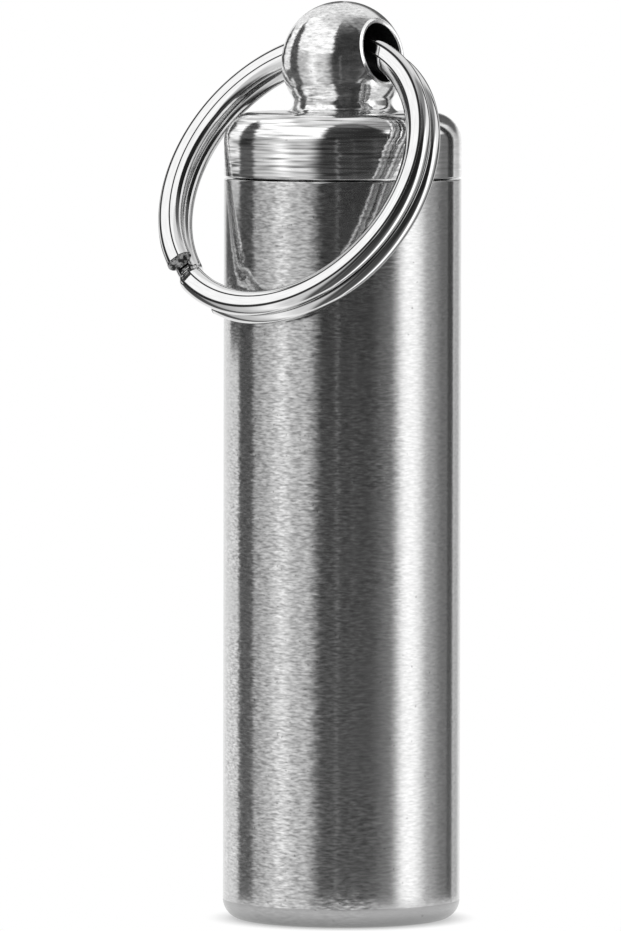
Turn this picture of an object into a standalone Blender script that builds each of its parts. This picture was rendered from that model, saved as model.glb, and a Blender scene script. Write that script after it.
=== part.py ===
"""Waterproof steel capsule jar: a turned cup, a screw cap with a drilled ball, its seal and a split ring."""

import math

import bmesh
import bpy
from mathutils import Vector

# Jar: a turned cup that stands on its flat base, with its axis on Z
JAR_RADIUS = 0.0080
JAR_HEIGHT = 0.0500
FLOOR_THICKNESS = 0.0020
BASE_FILLET = 0.00135
BORE_FILLET = 0.0008
EDGE_BREAK = 0.00012

# Mouth of the jar: the seat of the seal, the tapped stretch, plain here at its full diameter, and the bore
RIM_WALL = 0.00085
SEAT_LEAD_IN = 0.0003
SEAT_STEP = 0.00015
BORE_STEP = 0.00075
PLUG_END_CLEARANCE = 0.0005

# Screw cap: as wide as the jar, with a plug that carries the seal and the thread
SEAM_GAP = 0.0001
CAP_HEIGHT = 0.00438
SHOULDER_FILLET = 0.0020
THREAD_LENGTH = 0.0045
THREAD_HEIGHT = 0.00065
PLUG_CHAMFER = 0.0004
COVE_RADIUS = 0.00035
NECK_STRAIGHT = 0.00051
BALL_RADIUS = 0.00414
NECK_INSET = 0.00081

# Seal: a rubber ring in the gland between the cap's flange and its thread
SEAL_THICKNESS = 0.0012
SEAL_GAP = 0.0001

# Split ring: flat wire in two turns, which cross over once beside the two cut ends
WIRE_WIDTH = 0.0018
WIRE_THICKNESS = 0.0011
WIRE_ROUNDING = 0.00035
TURN_GAP = 0.0001
RING_MARGIN = 0.00095
CROSSING_ANGLE = math.radians(142.0)
CROSSING_SPAN = math.radians(12.0)
FIRST_END_SPACE = math.radians(1.5)
LAST_END_SPACE = math.radians(12.0)

# Cross hole in the ball, which the ring hangs in and leans from onto the jar's side
HOLE_RISE = 0.00072
HOLE_PLAY = 0.0002
HOLE_RUNNING_GAP = 0.0001
HOLE_RIM_BREAK = 0.00022
HOLE_BEARING = math.radians(-38.5)
LEAN_GAP = 0.00024
CUT_OVERRUN = 0.0010

# Facets
TURNED_STEPS = 64
FILLET_STEPS = 6
BALL_STEPS = 15
SEAL_STEPS = 10
HOLE_STEPS = 36
WIRE_STEP = math.radians(6.0)
CROSSING_STEP = math.radians(2.0)
WIRE_CORNER_STEPS = 2
LEAN_SAMPLES = 180
LEAN_HALVINGS = 40
SHARP_ANGLE = math.radians(30.0)
MERGE_DISTANCE = 0.000001

# Radii inside the mouth and on the plug that goes into it
seat_radius = JAR_RADIUS - RIM_WALL
tapped_radius = seat_radius - SEAT_STEP
bore_radius = tapped_radius - BORE_STEP
lead_in = min(SEAT_LEAD_IN, (RIM_WALL - EDGE_BREAK) / 2)
plug_radius = tapped_radius - THREAD_HEIGHT
gland_radius = seat_radius - SEAL_THICKNESS - 2 * SEAL_GAP
gland_width = SEAL_THICKNESS + 2 * SEAL_GAP
plug_length = gland_width + THREAD_LENGTH
seat_depth = gland_width + lead_in
mouth_depth = plug_length - SEAM_GAP + PLUG_END_CLEARANCE

# Ball and neck, measured up from the cap's underside
neck_radius = BALL_RADIUS - NECK_INSET
ball_start = CAP_HEIGHT + COVE_RADIUS + NECK_STRAIGHT
ball_centre = ball_start + math.sqrt(BALL_RADIUS**2 - neck_radius**2)
hole_height = ball_centre + HOLE_RISE
shoulder = min(SHOULDER_FILLET, JAR_RADIUS - neck_radius - COVE_RADIUS, CAP_HEIGHT - EDGE_BREAK)

# Ring: wide enough to fall past the cap, in a hole just wide enough for its curve
ring_inner = JAR_RADIUS + RING_MARGIN
ring_outer = ring_inner + WIRE_WIDTH
ring_middle = ring_inner + WIRE_WIDTH / 2
turn_pitch = WIRE_THICKNESS + TURN_GAP
half_stack = WIRE_THICKNESS + TURN_GAP / 2
corner_axial = half_stack - WIRE_ROUNDING
inner_corner = ring_inner + WIRE_ROUNDING
outer_corner = ring_outer - WIRE_ROUNDING
corner_at_rim = math.sqrt(inner_corner**2 - BALL_RADIUS**2)
half_curve = (outer_corner - corner_at_rim) / 2
hole_radius = math.hypot(half_curve, corner_axial) + WIRE_ROUNDING + HOLE_RUNNING_GAP + HOLE_PLAY
corner_reach = hole_radius - HOLE_RUNNING_GAP - WIRE_ROUNDING
ring_drop = corner_at_rim + math.sqrt(corner_reach**2 - corner_axial**2)

crossing_start = CROSSING_ANGLE + CROSSING_SPAN / 2 - math.tau
crossing_end = crossing_start - CROSSING_SPAN
first_end = crossing_end - FIRST_END_SPACE + math.tau
last_end = crossing_start + LAST_END_SPACE - math.tau


def clear_scene():
    for item in list(bpy.data.objects):
        bpy.data.objects.remove(item, do_unlink=True)


def metal(name, colour, roughness, metallic=1.0):
    """A plain Principled material."""
    material = bpy.data.materials.new(name)
    material.use_nodes = True
    shader = material.node_tree.nodes["Principled BSDF"]
    shader.inputs["Base Color"].default_value = (*colour, 1.0)
    shader.inputs["Roughness"].default_value = roughness
    shader.inputs["Metallic"].default_value = metallic
    return material


def place(name, bm, material):
    """Makes the bmesh one smooth-shaded object at the origin."""
    bmesh.ops.recalc_face_normals(bm, faces=bm.faces[:])
    mesh = bpy.data.meshes.new(name)
    bm.to_mesh(mesh)
    bm.free()
    mesh.shade_smooth()
    mesh.set_sharp_from_angle(angle=SHARP_ANGLE)
    if material is not None:
        mesh.materials.append(material)
    item = bpy.data.objects.new(name, mesh)
    bpy.context.scene.collection.objects.link(item)
    return item


def arc(centre_r, centre_z, radius, start_deg, end_deg, steps=FILLET_STEPS):
    """Points (radius from the axis, height) along an arc of a profile, both ends included."""
    points = []
    for i in range(steps + 1):
        angle = math.radians(start_deg + (end_deg - start_deg) * i / steps)
        points.append((centre_r + radius * math.cos(angle), centre_z + radius * math.sin(angle)))
    return points


def turned(name, profile, material, closed=False):
    """Turns a profile of (radius, height) points about the Z axis into a solid."""
    bm = bmesh.new()
    verts = [bm.verts.new((r, 0, z)) for r, z in profile]
    edges = [bm.edges.new(pair) for pair in zip(verts, verts[1:])]
    if closed:
        edges.append(bm.edges.new((verts[-1], verts[0])))
    bmesh.ops.spin(
        bm,
        geom=verts + edges,
        cent=(0, 0, 0),
        axis=(0, 0, 1),
        angle=math.tau,
        steps=TURNED_STEPS,
        use_merge=True,
    )
    bmesh.ops.remove_doubles(bm, verts=bm.verts[:], dist=MERGE_DISTANCE)
    return place(name, bm, material)


def jar_profile():
    """From the middle of the base, up the outside, over the rim and down the bore."""
    profile = [(0, 0)]
    profile += arc(JAR_RADIUS - BASE_FILLET, BASE_FILLET, BASE_FILLET, -90, 0)
    profile += [
        (JAR_RADIUS, JAR_HEIGHT - EDGE_BREAK),
        (JAR_RADIUS - EDGE_BREAK, JAR_HEIGHT),
        (seat_radius + lead_in, JAR_HEIGHT),
        (seat_radius, JAR_HEIGHT - lead_in),
        (seat_radius, JAR_HEIGHT - seat_depth),
        (tapped_radius, JAR_HEIGHT - seat_depth),
        (tapped_radius, JAR_HEIGHT - mouth_depth),
        (bore_radius, JAR_HEIGHT - mouth_depth - (tapped_radius - bore_radius)),
    ]
    profile += arc(bore_radius - BORE_FILLET, FLOOR_THICKNESS + BORE_FILLET, BORE_FILLET, 0, -90)
    profile.append((0, FLOOR_THICKNESS))
    return profile


def cap_profile():
    """From the end of the plug, out under the flange, over the shoulder and up the neck to the ball's top."""
    profile = [
        (0, -plug_length),
        (plug_radius - PLUG_CHAMFER, -plug_length),
        (plug_radius, -plug_length + PLUG_CHAMFER),
        (plug_radius, -gland_width),
        (gland_radius, -gland_width),
        (gland_radius, 0),
        (JAR_RADIUS - EDGE_BREAK, 0),
        (JAR_RADIUS, EDGE_BREAK),
    ]
    profile += arc(JAR_RADIUS - shoulder, CAP_HEIGHT - shoulder, shoulder, 0, 90)
    profile += arc(neck_radius + COVE_RADIUS, CAP_HEIGHT + COVE_RADIUS, COVE_RADIUS, -90, -180)
    ball_start_deg = -math.degrees(math.acos(neck_radius / BALL_RADIUS))
    profile += arc(0, ball_centre, BALL_RADIUS, ball_start_deg, 90, BALL_STEPS)
    return profile


def seal_profile():
    """The seal's round section, in the middle of its gland."""
    middle_radius = gland_radius + SEAL_GAP + SEAL_THICKNESS / 2
    return arc(middle_radius, 0, SEAL_THICKNESS / 2, 0, 360, SEAL_STEPS)[:-1]


def skin(bm, rings):
    """Joins closed rings of vertices into a tube with flat ends."""
    count = len(rings[0])
    for ring, following in zip(rings, rings[1:]):
        for i in range(count):
            j = (i + 1) % count
            bm.faces.new((ring[i], ring[j], following[j], following[i]))
    bm.faces.new(rings[0])
    bm.faces.new(reversed(rings[-1]))


def hole_cutter():
    """The cross hole and its broken rims, along X, with the hole's middle at the origin."""

    def depth(radius, ball, angle):
        """Where a cylinder round X meets a sphere round the ball's centre."""
        across = radius * math.cos(angle)
        up = HOLE_RISE + radius * math.sin(angle)
        return math.sqrt(ball**2 - across**2 - up**2)

    stations = []
    for i in range(HOLE_STEPS):
        angle = math.tau * i / HOLE_STEPS
        rim_radius = hole_radius + HOLE_RIM_BREAK
        rim_x = depth(rim_radius, BALL_RADIUS, angle)
        bore_x = depth(hole_radius, BALL_RADIUS - HOLE_RIM_BREAK, angle)
        flare_radius = 2 * rim_radius - hole_radius
        flare_x = 2 * rim_x - bore_x
        end_x = BALL_RADIUS + CUT_OVERRUN
        half = [(bore_x, hole_radius), (flare_x, flare_radius), (end_x, flare_radius)]
        whole = [(-x, r) for x, r in reversed(half)] + half
        stations.append([Vector((x, r * math.cos(angle), r * math.sin(angle))) for x, r in whole])
    bm = bmesh.new()
    rings = [[bm.verts.new(point) for point in ring] for ring in zip(*stations)]
    skin(bm, rings)
    cutter = place("cross_hole_cutter", bm, None)
    cutter.hide_render = True
    cutter.display_type = "WIRE"
    return cutter


def wire_section():
    """Rounded section of the wire, as points (outward from the wire's middle, along the ring's axis)."""
    out = WIRE_WIDTH / 2 - WIRE_ROUNDING
    along = WIRE_THICKNESS / 2 - WIRE_ROUNDING
    points = []
    for side_out, side_along, start in ((1, 1, 0), (-1, 1, 90), (-1, -1, 180), (1, -1, 270)):
        corner = arc(side_out * out, side_along * along, WIRE_ROUNDING, start, start + 90, WIRE_CORNER_STEPS)
        points += corner
    return points


def wire_angles():
    """Angles along the wire from its first cut end: a turn, the crossing, and the second turn."""
    stops = (
        (first_end, crossing_start, WIRE_STEP),
        (crossing_start, crossing_end, CROSSING_STEP),
        (crossing_end, last_end, WIRE_STEP),
    )
    angles = [first_end]
    for start, end, step in stops:
        count = math.ceil((start - end) / step)
        angles += [start + (end - start) * (i + 1) / count for i in range(count)]
    return angles


def turn_offset(angle):
    """How far along the ring's axis the wire's middle lies: one turn in front, one behind."""
    share = min(max((crossing_start - angle) / CROSSING_SPAN, 0), 1)
    eased = share * share * (3 - 2 * share)
    return turn_pitch * (eased - 0.5)


def wire_middle(angle):
    """A point of the wire's middle line. The hole's middle is the origin, and the angle runs from the top."""
    left = ring_middle * math.sin(angle)
    up = ring_middle * math.cos(angle) - ring_drop
    return Vector((-left, turn_offset(angle), up))


def lean_clearance(lean):
    """Least gap between the hanging ring's inner edge and the jar and cap, at a lean from the vertical."""
    least = math.inf
    for i in range(LEAN_SAMPLES):
        angle = math.pi * i / LEAN_SAMPLES
        drop = ring_drop + inner_corner * math.cos(angle)
        forward = drop * math.sin(lean) - corner_axial * math.cos(lean)
        below = drop * math.cos(lean) + corner_axial * math.sin(lean)
        out = math.hypot(inner_corner * math.sin(angle), forward) - (JAR_RADIUS - shoulder)
        up = hole_height - below - (CAP_HEIGHT - shoulder)
        gap = math.hypot(max(out, 0), max(up, 0)) + min(max(out, up), 0) - shoulder
        least = min(least, gap - WIRE_ROUNDING)
    return least


def resting_lean():
    """The lean at which the ring comes to rest on the jar's side or the cap's shoulder."""
    low, high = 0, math.pi / 2
    for _ in range(LEAN_HALVINGS):
        middle = (low + high) / 2
        if lean_clearance(middle) < LEAN_GAP:
            low = middle
        else:
            high = middle
    return high


def split_ring(material):
    bm = bmesh.new()
    section = wire_section()
    nudge = CROSSING_STEP / 4
    rings = []
    for angle in wire_angles():
        middle = wire_middle(angle)
        travel = (wire_middle(angle - nudge) - wire_middle(angle + nudge)).normalized()
        outward = Vector((-math.sin(angle), 0, math.cos(angle)))
        along = travel.cross(outward).normalized()
        rings.append([bm.verts.new(middle + outward * o + along * a) for o, a in section])
    skin(bm, rings)
    return place("split_ring", bm, material)


clear_scene()

brushed_steel = metal("brushed_steel", (0.56, 0.56, 0.56), 0.32)
turned_steel = metal("turned_steel", (0.60, 0.60, 0.60), 0.26)
polished_steel = metal("polished_steel", (0.78, 0.78, 0.78), 0.08)
seal_rubber = metal("seal_rubber", (0.02, 0.02, 0.02), 0.55, metallic=0.0)

jar = turned("jar_body", jar_profile(), brushed_steel)

cap = turned("screw_cap", cap_profile(), turned_steel)
cap.location.z = JAR_HEIGHT + SEAM_GAP

seal = turned("o_ring_seal", seal_profile(), seal_rubber, closed=True)
seal.location.z = cap.location.z - gland_width / 2

cutter = hole_cutter()
cutter.parent = cap
cutter.location.z = hole_height
cutter.rotation_euler.z = HOLE_BEARING
drill = cap.modifiers.new("cross_hole", "BOOLEAN")
drill.operation = "DIFFERENCE"
drill.solver = "EXACT"
drill.object = cutter

ring = split_ring(polished_steel)
ring.parent = cap
ring.location.z = hole_height
ring.rotation_euler = (-resting_lean(), 0, HOLE_BEARING)
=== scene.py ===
"""Looks of a waterproof capsule jar: brushed steel, a turned cap with a drilled ball, a bright ring."""

import math

import bmesh
import bpy
from mathutils import Matrix, Vector


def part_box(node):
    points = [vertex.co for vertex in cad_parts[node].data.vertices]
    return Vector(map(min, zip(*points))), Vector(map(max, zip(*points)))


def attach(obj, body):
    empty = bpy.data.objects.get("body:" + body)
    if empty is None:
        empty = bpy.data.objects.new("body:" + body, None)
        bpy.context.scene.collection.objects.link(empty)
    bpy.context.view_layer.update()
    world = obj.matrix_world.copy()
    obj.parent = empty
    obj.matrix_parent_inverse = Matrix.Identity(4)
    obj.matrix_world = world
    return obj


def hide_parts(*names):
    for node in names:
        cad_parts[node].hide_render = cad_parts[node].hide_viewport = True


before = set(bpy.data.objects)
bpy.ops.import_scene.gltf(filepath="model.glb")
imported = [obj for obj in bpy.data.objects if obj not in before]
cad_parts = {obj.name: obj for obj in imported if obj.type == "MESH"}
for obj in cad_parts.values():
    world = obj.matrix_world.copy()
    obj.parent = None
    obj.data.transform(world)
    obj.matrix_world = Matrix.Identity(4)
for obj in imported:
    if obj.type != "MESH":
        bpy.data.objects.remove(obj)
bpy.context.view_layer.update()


# Jar
# A deep cup turned from stainless bar, with a flat base, a small base fillet and a straight bore. It is
# brushed while it spins, which leaves short fine lines round it. The mouth holds a smooth seat for the
# seal, with a coarse right-handed thread below.

jar_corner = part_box("jar_body")[1]
JAR_RADIUS = jar_corner.x
JAR_HEIGHT = jar_corner.z
BASE_FILLET = 0.00135
FLOOR_THICKNESS = 0.0020
BORE_FILLET = 0.0008
EDGE_BREAK = 0.00012
RIM_WALL = 0.00085
SEAT_LEAD_IN = 0.0003
SEAT_DEPTH = 0.0017
SEAT_STEP = 0.00015
BORE_STEP = 0.00075
MOUTH_DEPTH = 0.0063
RUBBED_FROM = 0.004
RUBBED_TO = 0.040
RUBBED_ROUGHNESS = 0.16
JAR_ROUGHNESS = 0.12
TURNED_STEPS = 288
ARC_STEP = 6.0
MERGE_DISTANCE = 1e-7
SHARP_ANGLE = math.radians(32.0)

seat_radius = JAR_RADIUS - RIM_WALL
tapped_radius = seat_radius - SEAT_STEP
bore_radius = tapped_radius - BORE_STEP


def arc(centre_r, centre_z, radius, start_deg, end_deg, step_deg=ARC_STEP):
    """Points (radius from the axis, height) along an arc of a turned profile."""
    start = math.radians(start_deg)
    end = math.radians(end_deg)
    count = max(3, math.ceil(abs(end_deg - start_deg) / step_deg))
    points = []
    for i in range(count + 1):
        angle = start + (end - start) * i / count
        points.append((centre_r + radius * math.cos(angle), centre_z + radius * math.sin(angle)))
    return points


def turned(name, profile, lift=0.0, closed=False):
    """Turns a profile of (radius, height) points about the jar's axis into a piece with outward faces."""
    bm = bmesh.new()
    verts = [bm.verts.new((r, 0, z + lift)) for r, z in profile]
    edges = [bm.edges.new(pair) for pair in zip(verts, verts[1:])]
    if closed:
        edges.append(bm.edges.new((verts[-1], verts[0])))
    bmesh.ops.spin(
        bm,
        geom=verts + edges,
        cent=(0, 0, 0),
        axis=(0, 0, 1),
        angle=math.tau,
        steps=TURNED_STEPS,
        use_merge=True,
    )
    bmesh.ops.remove_doubles(bm, verts=bm.verts[:], dist=MERGE_DISTANCE)
    bmesh.ops.recalc_face_normals(bm, faces=bm.faces[:])
    mesh = bpy.data.meshes.new(name)
    bm.to_mesh(mesh)
    bm.free()
    mesh.shade_smooth()
    mesh.set_sharp_from_angle(angle=SHARP_ANGLE)
    piece = bpy.data.objects.new(name, mesh)
    bpy.context.scene.collection.objects.link(piece)
    return piece


def node(tree, kind, sockets=None, **settings):
    """Adds a node, sets its properties, and fills or links its input sockets by name or number."""
    item = tree.nodes.new(kind)
    for name, value in settings.items():
        setattr(item, name, value)
    for socket, value in (sockets or {}).items():
        if isinstance(value, bpy.types.NodeSocket):
            tree.links.new(value, item.inputs[socket])
        else:
            item.inputs[socket].default_value = value
    return item


def maths(tree, operation, *values):
    return node(tree, "ShaderNodeMath", dict(enumerate(values)), operation=operation).outputs[0]


def vector_maths(tree, operation, *values):
    item = node(tree, "ShaderNodeVectorMath", dict(enumerate(values)), operation=operation)
    return item.outputs["Value" if operation in ("DOT_PRODUCT", "LENGTH") else "Vector"]


def scaled(tree, vector, amount):
    return node(tree, "ShaderNodeVectorMath", {0: vector, "Scale": amount}, operation="SCALE").outputs[0]


def remapped(tree, value, low, high, at_low, at_high, curve="LINEAR"):
    """Carries a value from one range over to another, and holds it beyond both ends."""
    limits = {0: value, 1: low, 2: high, 3: at_low, 4: at_high}
    return node(tree, "ShaderNodeMapRange", limits, interpolation_type=curve).outputs[0]


def object_place(tree):
    return node(tree, "ShaderNodeTexCoord").outputs["Object"]


def noise(tree, where, scale, detail):
    settings = {"Vector": where, "Scale": scale, "Detail": detail}
    return node(tree, "ShaderNodeTexNoise", settings).outputs["Fac"]


def press(tree, shader, height, strength, distance, normal=None):
    """Bumps a shader's surface by a height, over the normal that it already has."""
    sockets = {"Height": height, "Strength": strength, "Distance": distance}
    if normal is not None:
        sockets["Normal"] = normal
    tree.links.new(node(tree, "ShaderNodeBump", sockets).outputs[0], shader.inputs["Normal"])


def new_group(name, kind, inputs, outputs):
    """A node group with named sockets, given as (name, type, default) and (name, type)."""
    group = bpy.data.node_groups.new(name, kind)
    for label, socket_type, default in inputs:
        socket = group.interface.new_socket(label, in_out="INPUT", socket_type=socket_type)
        if default is not None:
            socket.default_value = default
    for label, socket_type in outputs:
        group.interface.new_socket(label, in_out="OUTPUT", socket_type=socket_type)
    return group, node(group, "NodeGroupInput"), node(group, "NodeGroupOutput")


STREAK_DETAIL = 1.0
STREAK_ROUGHNESS = 0.6
SWAY_SEED = 11.3
TILT_SEED = 37.9
SHADE_SEED = 71.7
PATCH_SCALE = 220.0
PATCH_DETAIL = 2.0
PATCH_SHARE = 0.9
WORN_FROM = 1.05
WORN_TO = 1.4
FRESH_SHARE = 0.27
PIT_WARP = 0.8
PIT_WARP_FINENESS = 2.0
PIT_HEART = 0.05
PIT_EDGE = 0.30
PIT_BUMP = 0.2
PIT_DEPTH = 0.00002


def turned_lines_group():
    """Fine lines round the axis: they lean the surface a little each way, and mark its colour lighter and
    darker, as grain and also as painted glints and painted groove shade.
    """
    group, given, result = new_group(
        "turned lines",
        "ShaderNodeTree",
        (
            ("Line Width", "NodeSocketFloat", 0.0004),
            ("Streak Turns", "NodeSocketFloat", 5.0),
            ("Sway", "NodeSocketFloat", 0.1),
            ("Tilt", "NodeSocketFloat", 0.1),
            ("Worn Side", "NodeSocketVector", (0.0, 0.0, 0.0)),
            ("Seed", "NodeSocketFloat", 0.0),
        ),
        (("Normal", "NodeSocketVector"), ("Lines", "NodeSocketFloat"), ("Wear", "NodeSocketFloat")),
    )
    place = object_place(group)
    axes = node(group, "ShaderNodeSeparateXYZ", {0: place})
    flat = node(group, "ShaderNodeCombineXYZ", {"X": axes.outputs["X"], "Y": axes.outputs["Y"]}).outputs[0]
    radius = vector_maths(group, "LENGTH", flat)
    outward = vector_maths(group, "NORMALIZE", flat)
    spread = scaled(group, outward, given.outputs["Streak Turns"])
    height = maths(group, "DIVIDE", axes.outputs["Z"], given.outputs["Line Width"])
    rise = node(group, "ShaderNodeCombineXYZ", {"Z": height}).outputs[0]
    where = vector_maths(group, "ADD", spread, rise)
    across = maths(group, "DIVIDE", radius, given.outputs["Line Width"])
    seeded = maths(group, "ADD", across, given.outputs["Seed"])

    def streaks(offset):
        settings = {
            "Vector": where,
            "W": maths(group, "ADD", seeded, offset),
            "Scale": 1.0,
            "Detail": STREAK_DETAIL,
            "Roughness": STREAK_ROUGHNESS,
        }
        item = node(group, "ShaderNodeTexNoise", settings, noise_dimensions="4D")
        return maths(group, "SUBTRACT", item.outputs["Fac"], 0.5)

    toward = vector_maths(group, "DOT_PRODUCT", outward, given.outputs["Worn Side"])
    patches = noise(group, place, PATCH_SCALE, PATCH_DETAIL)
    worn = maths(group, "MULTIPLY_ADD", patches, PATCH_SHARE, toward)
    wear = remapped(group, worn, WORN_FROM, WORN_TO, FRESH_SHARE, 1.0, "SMOOTHSTEP")
    round_way = vector_maths(group, "CROSS_PRODUCT", (0, 0, 1), outward)
    turned_round = node(
        group,
        "ShaderNodeVectorTransform",
        {0: round_way},
        vector_type="VECTOR",
        convert_from="OBJECT",
        convert_to="WORLD",
    ).outputs[0]
    surface = node(group, "ShaderNodeNewGeometry").outputs["Normal"]
    up_way = vector_maths(group, "CROSS_PRODUCT", surface, turned_round)
    leaned = surface
    for way, seed, amount in ((turned_round, SWAY_SEED, "Sway"), (up_way, TILT_SEED, "Tilt")):
        by = maths(group, "MULTIPLY", streaks(seed), given.outputs[amount])
        leaned = vector_maths(group, "ADD", leaned, scaled(group, way, maths(group, "MULTIPLY", by, wear)))
    group.links.new(vector_maths(group, "NORMALIZE", leaned), result.inputs["Normal"])
    group.links.new(maths(group, "MULTIPLY", streaks(SHADE_SEED), wear), result.inputs["Lines"])
    group.links.new(wear, result.inputs["Wear"])
    return group


def pits_group():
    """Small pits and nicks, each a cell of its own: how deep the surface is, and how much darker its colour
    is drawn.
    """
    group, given, result = new_group(
        "pits",
        "ShaderNodeTree",
        (
            ("Spacing", "NodeSocketFloat", 0.0005),
            ("Share", "NodeSocketFloat", 0.3),
            ("Wear", "NodeSocketFloat", 1.0),
        ),
        (("Height", "NodeSocketFloat"), ("Dark", "NodeSocketFloat")),
    )
    place = object_place(group)
    scale = maths(group, "DIVIDE", 1.0, given.outputs["Spacing"])
    warp_scale = maths(group, "MULTIPLY", scale, PIT_WARP_FINENESS)
    warp = node(group, "ShaderNodeTexNoise", {"Vector": place, "Scale": warp_scale})
    moved = scaled(group, warp.outputs["Color"], maths(group, "MULTIPLY", given.outputs["Spacing"], PIT_WARP))
    warped = vector_maths(group, "ADD", place, moved)
    cells = node(group, "ShaderNodeTexVoronoi", {"Vector": warped, "Scale": scale})
    chance = node(group, "ShaderNodeSeparateColor", {0: cells.outputs["Color"]}).outputs["Red"]
    allowed = maths(group, "MULTIPLY", given.outputs["Share"], given.outputs["Wear"])
    present = maths(group, "LESS_THAN", chance, allowed)
    hollow = remapped(group, cells.outputs["Distance"], PIT_HEART, PIT_EDGE, 1.0, 0.0, "SMOOTHSTEP")
    depth = maths(group, "MULTIPLY", hollow, present)
    group.links.new(maths(group, "MULTIPLY", depth, -1.0), result.inputs["Height"])
    group.links.new(depth, result.inputs["Dark"])
    return group


turned_lines = turned_lines_group()
pits = pits_group()


def principled(name, grey, metallic, roughness):
    """A new material, with its tree and its Principled shader."""
    material = bpy.data.materials.new(name)
    material.use_nodes = True
    shader = material.node_tree.nodes["Principled BSDF"]
    shader.inputs["Base Color"].default_value = (grey, grey, grey, 1.0)
    shader.inputs["Metallic"].default_value = metallic
    shader.inputs["Roughness"].default_value = roughness
    return material, material.node_tree, shader


def turned_steel(name, grey, metallic, roughness, contrast, lines, pit_spacing, pit_share, pit_dark):
    """Steel with lines turned or brushed round the axis, which break up its reflections, and small pits."""
    material, tree, shader = principled(name, grey, metallic, roughness)
    line = node(tree, "ShaderNodeGroup", lines, node_tree=turned_lines).outputs
    pit_sizes = {"Spacing": pit_spacing, "Share": pit_share, "Wear": line["Wear"]}
    pit = node(tree, "ShaderNodeGroup", pit_sizes, node_tree=pits).outputs
    press(tree, shader, pit["Height"], PIT_BUMP, PIT_DEPTH, line["Normal"])
    # The lines' lighter and darker streaks in the colour are grain and also painted glints and painted groove
    # shade; the pits are drawn darker.
    shade = maths(tree, "MULTIPLY_ADD", line["Lines"], contrast, 1.0)
    shade = maths(tree, "MULTIPLY", shade, maths(tree, "MULTIPLY_ADD", pit["Dark"], -pit_dark, 1.0))
    tree.links.new(scaled(tree, (grey, grey, grey), shade), shader.inputs["Base Color"])
    return material


jar_profile = [(0, 0)]
jar_profile += arc(JAR_RADIUS - BASE_FILLET, BASE_FILLET, BASE_FILLET, -90, 0)
jar_profile += arc(JAR_RADIUS - EDGE_BREAK, JAR_HEIGHT - EDGE_BREAK, EDGE_BREAK, 0, 90)
jar_profile += [
    (seat_radius + SEAT_LEAD_IN, JAR_HEIGHT),
    (seat_radius, JAR_HEIGHT - SEAT_LEAD_IN),
    (seat_radius, JAR_HEIGHT - SEAT_DEPTH),
    (tapped_radius, JAR_HEIGHT - SEAT_DEPTH),
    (tapped_radius, JAR_HEIGHT - MOUTH_DEPTH),
    (bore_radius, JAR_HEIGHT - MOUTH_DEPTH - BORE_STEP),
]
jar_profile += arc(bore_radius - BORE_FILLET, FLOOR_THICKNESS + BORE_FILLET, BORE_FILLET, 0, -90)
jar_profile.append((0, FLOOR_THICKNESS))
jar = turned("jar_shell", jar_profile)
JAR_LINES = {
    "Line Width": 0.00015,
    "Streak Turns": 15.0,
    "Sway": 0.12,
    "Tilt": 0.10,
    "Worn Side": (-0.45, -0.89, 0.0),
    "Seed": 0.0,
}
jar_steel = turned_steel(
    "jar steel",
    grey=0.56,
    metallic=0.9,
    roughness=JAR_ROUGHNESS,
    contrast=2.0,
    lines=JAR_LINES,
    pit_spacing=0.0003,
    pit_share=0.12,
    pit_dark=0.5,
)

# The jar is a little duller towards its foot
tree = jar_steel.node_tree
axes = node(tree, "ShaderNodeSeparateXYZ", {0: object_place(tree)}).outputs
rubbed = remapped(tree, axes["Z"], RUBBED_FROM, RUBBED_TO, RUBBED_ROUGHNESS, JAR_ROUGHNESS)
tree.links.new(rubbed, tree.nodes["Principled BSDF"].inputs["Roughness"])
# The base fillet's steel is a darker copy of the jar's: painted shade for the shaded floor round the foot
# that it mirrors. It is also rougher.
shaded_base_steel = turned_steel(
    "base fillet steel painted darker",
    grey=0.42,
    metallic=0.9,
    roughness=0.23,
    contrast=0.5,
    lines=JAR_LINES,
    pit_spacing=0.0004,
    pit_share=0.10,
    pit_dark=0.4,
)
jar.data.materials.append(jar_steel)
jar.data.materials.append(shaded_base_steel)
for face in jar.data.polygons:
    if face.center.z < BASE_FILLET:
        face.material_index = 1

# The thread is a ridge of trapezoid section that winds round a wall and fades out at both ends
THREAD_PITCH = 0.0010
THREAD_BASE_WIDTH = 0.00082
THREAD_CREST_WIDTH = 0.00014
THREAD_SINK = 0.00005
THREAD_LEAD = 0.0006
FEMALE_DEPTH = 0.00055
FEMALE_TURNS = 3.6
THREAD_STEPS_PER_TURN = 96
THREAD_FADE_TURNS = 0.5

female_start = JAR_HEIGHT - MOUTH_DEPTH + THREAD_LEAD


def end_tree(tree, geometry, material, result):
    """Ends a geometry tree: what it made is made real and takes its material."""
    real = node(tree, "GeometryNodeRealizeInstances", {"Geometry": geometry}).outputs[0]
    dressed = node(tree, "GeometryNodeSetMaterial", {"Geometry": real, "Material": material}).outputs[0]
    tree.links.new(dressed, result.inputs["Geometry"])


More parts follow.
